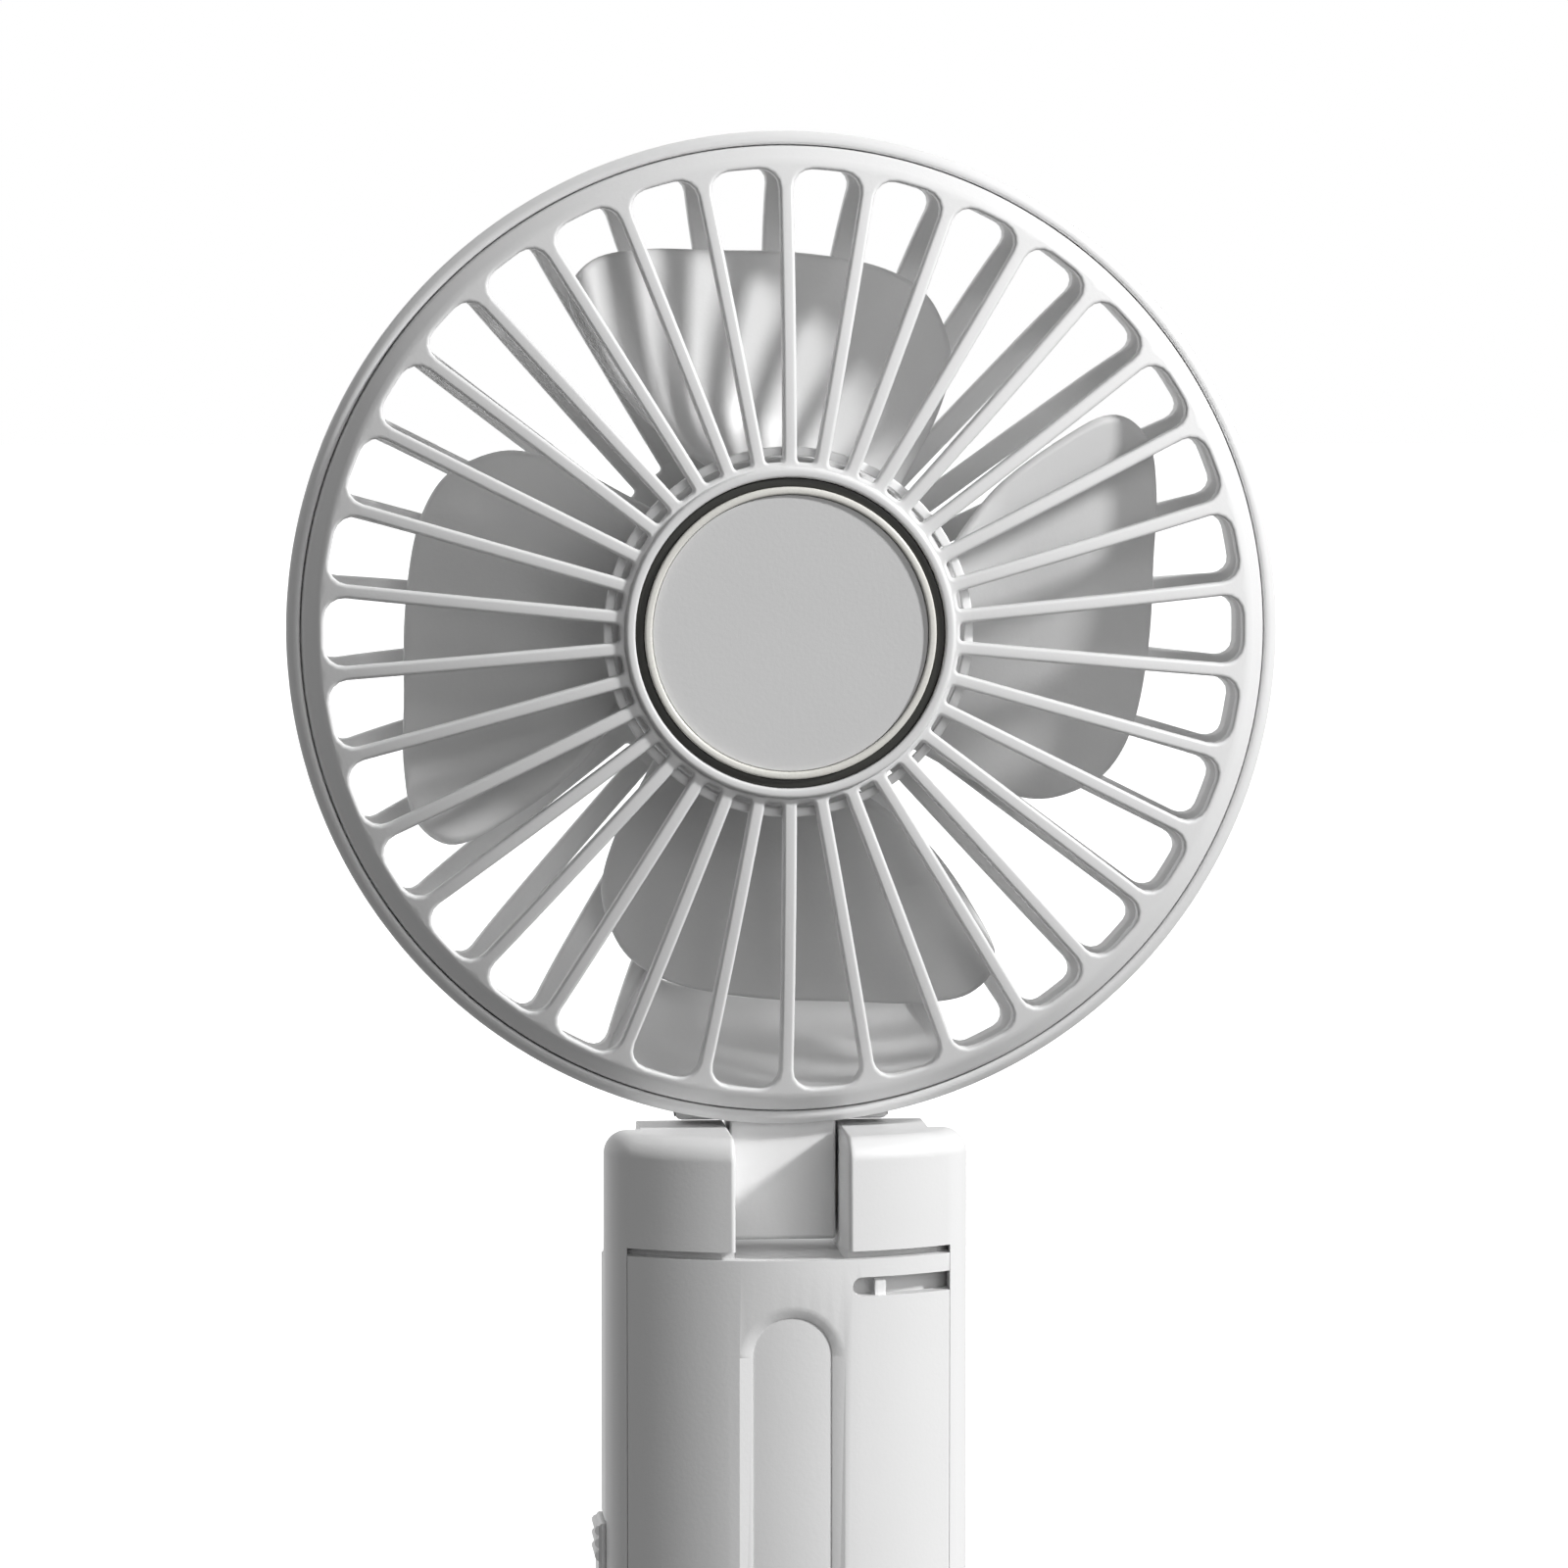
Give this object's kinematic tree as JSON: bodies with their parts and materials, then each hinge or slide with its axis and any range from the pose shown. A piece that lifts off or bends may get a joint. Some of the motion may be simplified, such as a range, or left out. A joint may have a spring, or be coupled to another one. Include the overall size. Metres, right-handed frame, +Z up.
{
  "type": "handheld fan",
  "caption": "Folding handheld fan: caged head with radial ribs on a backward hinge, flat-sided handle with a curved front cover, strap slot, push button and side slider.",
  "frame": {"origin": "centre of the handle's flat bottom face, which the fan stands on", "axes": "+Z up the handle, -Y out of the front where the air leaves, +X to the right seen from the front"},
  "size_m": [0.0988, 0.032, 0.2093],
  "materials": {
    "shell": "satin moulded plastic with a fine grain",
    "bezel": "smooth",
    "accent": "smooth dark ring",
    "badge": "flat grey",
    "blade": "satin",
    "control": "satin",
    "lens": "milky lens",
    "screw_steel": "plain",
    "washer": "acetal",
    "cell": "shrink sleeve",
    "board": "solder mask",
    "switch_case": "moulded",
    "port": "plated",
    "can_steel": "zinc plated",
    "magnet": "bonded ferrite",
    "bronze": "turned",
    "winding": "enamelled copper wire"
  },
  "bodies": {
    "handle": {"handle_frame": "shell", "front_cover": "shell", "base_cap": "shell", "base_screws": "screw_steel", "cover_screws": "screw_steel", "battery_cell": "cell", "control_board": "board", "tactile_switch": "switch_case", "slide_switch": "switch_case", "usb_port": "port", "light_windows": "lens", "hinge_pin": "screw_steel", "hinge_caps": "shell", "hinge_washers": "washer"},
    "head": {"rear_housing": "shell", "front_grille": "shell", "accent_ring": "accent", "centre_bezel": "bezel", "centre_disc": "badge", "bearing_tube": "bronze", "bearing_bushes": "bronze", "stator_core": "can_steel", "stator_coils": "winding", "motor_board": "board", "motor_screws": "screw_steel"},
    "impeller": {"impeller": "blade", "rotor_can": "can_steel", "magnet_ring": "magnet", "motor_shaft": "screw_steel", "shaft_clip": "screw_steel"},
    "power_button": {"power_button": "control"},
    "side_slider": {"side_slider": "control"}
  },
  "joints": [
    {"name": "head_fold", "type": "hinge", "parent": "handle", "child": "head", "pos_m": [0, 0.0052, 0.1038], "axis": [-1, 0, 0], "range_deg": [0, 90]},
    {"name": "impeller_spin", "type": "hinge", "parent": "head", "child": "impeller", "pos_m": [0, 0, 0.1598], "axis": [0, 1, 0], "continuous": true},
    {"name": "button_press", "type": "slide", "parent": "handle", "child": "power_button", "axis": [0, 1, 0], "range_m": [0, 0.0008], "stiffness_N_per_m": 800, "springref_m": -0.001},
    {"name": "slider_travel", "type": "slide", "parent": "handle", "child": "side_slider", "axis": [0, 0, -1], "range_m": [0, 0.004]}
  ]
}
